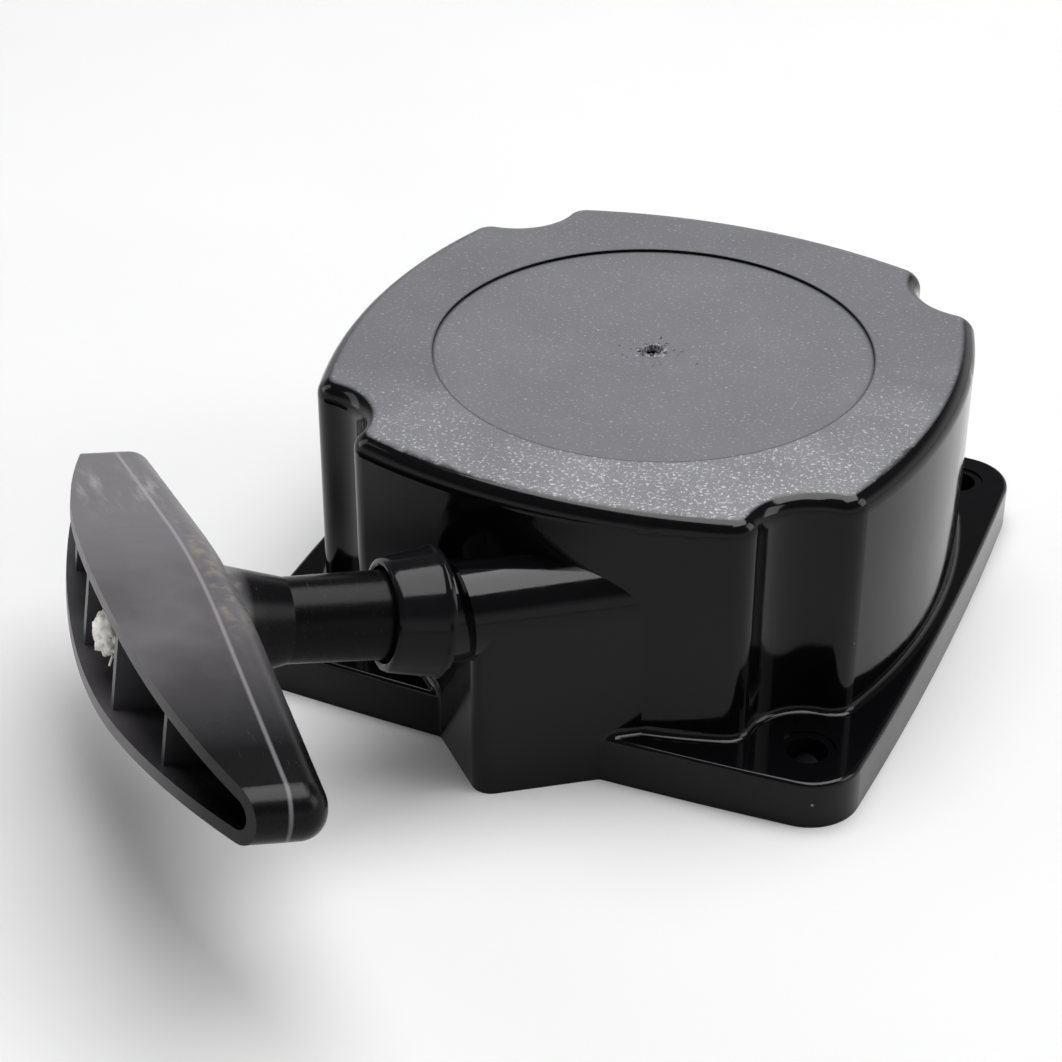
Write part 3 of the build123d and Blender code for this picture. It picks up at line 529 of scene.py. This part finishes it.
# Rope run: off the winding, through the tube and the collar, up the stem to the knot.
runPlan = {"start": 4.0, "knotSeat": 40.7, "bend": 7.0, "steps": 14, "around": 24}
runEnd = guideBase + pullWay * runPlan["knotSeat"] * mm
runStart = tangentPoint + ropeWay * runPlan["start"] * mm
runPoints = bentRoute(runStart, guideBase, runEnd, runPlan["bend"] * mm, runPlan["steps"])
runMesh = meshOf(ropeTube(bmesh.new(), runPoints, ropeLook["radius"] * mm, runPlan["around"]), "starterRope")
starterRope = makePiece("starterRope", runMesh, None, "ropeRun", "rope_fibre", "rope_run")
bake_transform(starterRope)
print("rope run made")

# Rope wound on the pulley, one turn over the last, out to where the run leaves it.
windPlan = {"innerRadius": 30.3, "outerRadius": 40.3, "pocketAngle": 150.0, "fullTurns": 3, "perTurn": 56,
            "ropeRadius": 1.68, "around": 12}
leaveAngle = math.degrees(math.atan2(ropeSide.y, ropeSide.x))
windSweep = windPlan["pocketAngle"] - leaveAngle + 360 * windPlan["fullTurns"]
windSteps = int(windSweep / 360 * windPlan["perTurn"])
windPoints = []
for step in range(windSteps + 1):
    turn = math.radians(windPlan["pocketAngle"] - windSweep * step / windSteps)
    radius = windPlan["innerRadius"] + (windPlan["outerRadius"] - windPlan["innerRadius"]) * step / windSteps
    windPoints.append(Vector((math.cos(turn) * radius, math.sin(turn) * radius, pull["level"])) * mm)
windTube = ropeTube(bmesh.new(), windPoints, windPlan["ropeRadius"] * mm, windPlan["around"])
windMesh = meshOf(windTube, "ropeWinding")
makePiece("ropeWinding", windMesh, "pulley", "rope", "rope_fibre", "rope_coil")


def tightKnot(shape, frame, size, ropeRadius):
    # A pulled-down overhand knot; size is its outer radius, frame its seat with Z standing out.
    points = []
    for step in range(73):
        turn = 2 * math.pi * step / 72
        loop = Vector((math.sin(turn) + 2 * math.sin(2 * turn), math.cos(turn) - 2 * math.cos(2 * turn),
                       -1.25 * math.sin(3 * turn)))
        points.append(loop * (size - ropeRadius) / 3 * mm)
    ropeTube(shape, [frame @ point for point in points], ropeRadius * mm, 14, 7.0)


knotPlan = {"size": 4.3, "rope": 1.5, "rise": 3.6, "filaments": 220, "length": 1.9, "core": 2.7, "seed": 7,
            "reach": 4.6, "top": 4.4}
knotFrame = pullFrame @ Matrix.Translation((0, 0, (runPlan["knotSeat"] + knotPlan["rise"]) * mm))
knotShape = bmesh.new()
tightKnot(knotShape, knotFrame, knotPlan["size"], knotPlan["rope"])
makePiece("gripKnot", meshOf(knotShape, "gripKnot"), "rope_end", "rope", "rope_fibre", "grip_knot")

# The rope's cut end has opened into a tuft of filaments.
chance = random.Random(knotPlan["seed"])
tuftShape = bmesh.new()
# A matted lump, with the loose filaments standing out of it.
lump = bmesh.ops.create_icosphere(tuftShape, subdivisions=4, radius=knotPlan["core"] * mm)["verts"]
for vert in lump:
    wave = math.sin(vert.co.x * 3100) * math.sin(vert.co.y * 3700 + 1) * math.sin(vert.co.z * 2900 + 2)
    vert.co *= 1 + 0.22 * wave + chance.gauss(0, 0.035)
    flattened = Vector((vert.co.x * 1.15, vert.co.y * 1.25, vert.co.z * 0.95))
    vert.co = knotFrame @ (flattened + Vector((0, 0, 2.2 * mm)))
for number in range(knotPlan["filaments"]):
    lean = Vector((chance.gauss(0, 0.9), chance.gauss(0, 0.9), 0.6)).normalized()
    curl = Vector((chance.gauss(0, 0.6), chance.gauss(0, 0.6), chance.gauss(0, 0.4)))
    root = Vector((chance.gauss(0, 0.9), chance.gauss(0, 0.9), 1.4 + 1.2 * chance.random()))
    length = knotPlan["length"] * (0.45 + 0.5 * chance.random())
    line = [root + lean * length * share + curl * length * share * share * 0.7
            for share in (0, 0.3, 0.6, 0.85, 1.0)]
    for point in line:
        point.z = min(point.z, knotPlan["top"])
        point.x = max(-knotPlan["reach"], min(knotPlan["reach"], point.x))
        point.y = max(-knotPlan["reach"], min(knotPlan["reach"], point.y))
    thickness = (0.09 + 0.12 * chance.random()) * mm
    ropeTube(tuftShape, [knotFrame @ (point * mm) for point in line], thickness, 5, 7.0)
makePiece("frayedEnd", meshOf(tuftShape, "frayedEnd"), "rope_end", "fray", "rope_fibre")

# The rope's inner end, knotted in the pulley's pocket.
pocketPlan = {"place": (23.2, 0, 27.3), "squash": (0.85, 0.85, 0.62, 1), "size": 3.9, "rope": 1.4}
pocketPlace = Vector(pocketPlan["place"])
pocketPlace.rotate(Matrix.Rotation(math.radians(windPlan["pocketAngle"]), 3, "Z"))
pocketShape = bmesh.new()
pocketFrame = Matrix.Translation(pocketPlace * mm) @ Matrix.Diagonal(pocketPlan["squash"])
tightKnot(pocketShape, pocketFrame, pocketPlan["size"], pocketPlan["rope"])
makePiece("pulleyKnot", meshOf(pocketShape, "pulleyKnot"), "pulley", "rope", "rope_fibre", "pulley_knot")
print("winding and knots made")

# Rope guide: a turned collar with a bead at its foot, a rolled mouth and a seat for the grip's stem.
collarProfile = (
    (4.3, -6.0), (5.15, -6.0), (5.15, -0.05), (9.2, 0.0), (9.5, 0.12), (9.6, 0.4), (9.58, 0.85), (9.36, 1.15),
    (9.22, 1.45), (8.34, 7.1), (8.2, 7.7), (7.95, 8.1), (7.6, 8.27), (7.25, 8.27), (6.98, 8.1), (6.83, 7.7),
    (6.8, 7.2), (6.8, 3.9), (6.6, 3.72), (3.2, 3.7), (2.85, 3.55), (2.7, 3.2), (2.7, 0.4),
)
collarShape = bmesh.new()
collarRing = [collarShape.verts.new((radius * mm, 0, height * mm)) for radius, height in collarProfile]
collarEdges = [collarShape.edges.new((collarRing[place - 1], collarRing[place]))
               for place in range(len(collarRing))]
bmesh.ops.spin(collarShape, geom=collarRing + collarEdges, cent=(0, 0, 0), axis=(0, 0, 1), angle=2 * math.pi,
               steps=96, use_merge=True)
bmesh.ops.remove_doubles(collarShape, verts=collarShape.verts, dist=1e-6)
bmesh.ops.transform(collarShape, matrix=pullFrame, verts=collarShape.verts)
makePiece("ropeCollar", meshOf(collarShape, "ropeCollar", 32), "housing", "guide", "guide_plastic", "rope_guide")
print("collar made")

# Gate scar: a torn little crater where the moulding was fed, and crumbs of plastic round it.
scarPlan = {"radii": (1.2, 1.42, 1.62, 1.95, 2.5), "heights": (-0.75, 0.08, 0.28, 0.12, -0.05), "level": 43.9,
            "crumbs": 30, "seed": 11}
chance = random.Random(scarPlan["seed"])
scarShape = bmesh.new()
scarRing = bmesh.ops.create_circle(scarShape, segments=40, radius=scarPlan["radii"][0] * mm)["verts"]
bmesh.ops.translate(scarShape, vec=(0, 0, (scarPlan["level"] + scarPlan["heights"][0]) * mm), verts=scarRing)
scarSteps = zip(scarPlan["radii"], scarPlan["radii"][1:], scarPlan["heights"], scarPlan["heights"][1:])
for inner, outer, low, high in scarSteps:
    scarEdges = [edge for edge in scarShape.edges if edge.verts[0] in scarRing and edge.verts[1] in scarRing]
    made = bmesh.ops.extrude_edge_only(scarShape, edges=scarEdges)["geom"]
    scarRing = [item for item in made if isinstance(item, bmesh.types.BMVert)]
    bmesh.ops.scale(scarShape, vec=(outer / inner, outer / inner, 1), verts=scarRing)
    bmesh.ops.translate(scarShape, vec=(0, 0, (high - low) * mm), verts=scarRing)
    if outer < scarPlan["radii"][-1]:
        for vert in scarRing:  # torn edge
            vert.co += Vector((chance.gauss(0, 0.07), chance.gauss(0, 0.07), chance.gauss(0, 0.06))) * mm
for number in range(scarPlan["crumbs"]):
    turn = chance.random() * 2 * math.pi
    reach = (1.9 + abs(chance.gauss(0, 1.6))) * mm
    crumbRadius = (0.07 + 0.12 * chance.random()) * mm
    crumb = bmesh.ops.create_icosphere(scarShape, subdivisions=1, radius=crumbRadius)["verts"]
    for vert in crumb:
        vert.co *= 0.75 + 0.5 * chance.random()
    bmesh.ops.translate(scarShape, verts=crumb, vec=(math.cos(turn) * reach * 1.25, math.sin(turn) * reach,
                                                    (scarPlan["level"] + 0.04) * mm))
makePiece("gateScar", meshOf(scarShape, "gateScar"), "housing", "scar", "housing_plastic")
print("gate scar made")

# Table, light and camera.
stagePlan = {"size": 3.0, "dark": "#b3b3b3", "light": "#b7b7b7", "blotch": 60.0, "roughness": 0.8}
tableShape = bmesh.new()
bmesh.ops.create_grid(tableShape, x_segments=1, y_segments=1, size=stagePlan["size"] / 2)
tableMesh = bpy.data.meshes.new("table")
tableShape.to_mesh(tableMesh)
tableShape.free()
table = bpy.data.objects.new("table", tableMesh)
bpy.context.scene.collection.objects.link(table)
tableMaterial, tableTree, tableShader, tablePlace = startMaterial("Matt white laminate")
tableTone = noiseOf(tableTree, tablePlace, stagePlan["blotch"], 2.0)
tableShade = mixColour(tableTree, tableTone, hexColour(stagePlan["dark"]), hexColour(stagePlan["light"]))
tableTree.links.new(tableShade, tableShader.inputs["Base Color"])
tableShader.inputs["Roughness"].default_value = stagePlan["roughness"]
tableMesh.materials.append(tableMaterial)

# Bright round the horizon, as a white sweep is, and dim overhead between the lamps.
skyPlan = {"low": 0.22, "high": 0.46, "horizon": (1.0, 1.0, 1.0, 1.0), "overhead": (0.16, 0.16, 0.165, 1.0),
           "strength": 1.0}
world = bpy.data.worlds.new("studio")
world.use_nodes = True
worldTree = world.node_tree
skyWay = addNode(worldTree, "ShaderNodeTexCoord").outputs["Generated"]
skyHeight = addNode(worldTree, "ShaderNodeSeparateXYZ", {"Vector": skyWay}).outputs["Z"]
skyShade = mixColour(worldTree, spread(worldTree, skyHeight, skyPlan["low"], skyPlan["high"]),
                     skyPlan["horizon"], skyPlan["overhead"])
background = worldTree.nodes["Background"]
worldTree.links.new(skyShade, background.inputs["Color"])
background.inputs["Strength"].default_value = skyPlan["strength"]
bpy.context.scene.world = world

lampPlan = {
    # name: (place, aim, width, height, watts)
    "ceilingPanel": ((0.10, 0.15, 1.10), (0.0, 0.0, 0.0), 1.1, 0.9, 26.0),
    "rightPanel": ((0.95, 0.25, 0.60), (0.0, 0.0, 0.03), 0.5, 0.6, 4.0),
    "leftPanel": ((-0.95, -0.10, 0.50), (-0.02, -0.03, 0.03), 0.35, 0.8, 2.0),
}
for lampName, (lampPlace, lampAim, lampWidth, lampHeight, lampPower) in lampPlan.items():
    lampData = bpy.data.lights.new(lampName, "AREA")
    lampData.shape = "RECTANGLE"
    lampData.size = lampWidth
    lampData.size_y = lampHeight
    lampData.energy = lampPower
    lamp = bpy.data.objects.new(lampName, lampData)
    lamp.location = lampPlace
    lamp.rotation_euler = (Vector(lampPlace) - Vector(lampAim)).to_track_quat("Z", "Y").to_euler()
    bpy.context.scene.collection.objects.link(lamp)

cameraPlan = {"azimuth": 23.277, "elevation": 32.640, "roll": 0.16, "place": (0.1191, -0.3242, 0.2317),
              "lens": 86.14, "sensor": 36.0}
cameraAz = math.radians(cameraPlan["azimuth"])
cameraEl = math.radians(cameraPlan["elevation"])
cameraBack = Vector((math.sin(cameraAz) * math.cos(cameraEl), -math.cos(cameraAz) * math.cos(cameraEl),
                     math.sin(cameraEl)))
cameraSide = Matrix.Rotation(math.radians(cameraPlan["roll"]), 3, cameraBack) @ Vector(
    (math.cos(cameraAz), math.sin(cameraAz), 0))
cameraUp = cameraBack.cross(cameraSide)
cameraData = bpy.data.cameras.new("camera")
cameraData.lens = cameraPlan["lens"]
cameraData.sensor_width = cameraPlan["sensor"]
cameraData.clip_start = 0.01
cameraData.clip_end = 20.0
camera = bpy.data.objects.new("camera", cameraData)
cameraMatrix = Matrix((cameraSide, cameraUp, cameraBack)).transposed().to_4x4()
cameraMatrix.translation = Vector(cameraPlan["place"])
camera.matrix_world = cameraMatrix
bpy.context.scene.collection.objects.link(camera)
bpy.context.scene.camera = camera
bpy.context.scene.view_settings.view_transform = "Standard"
print("stage, lamps and camera set")
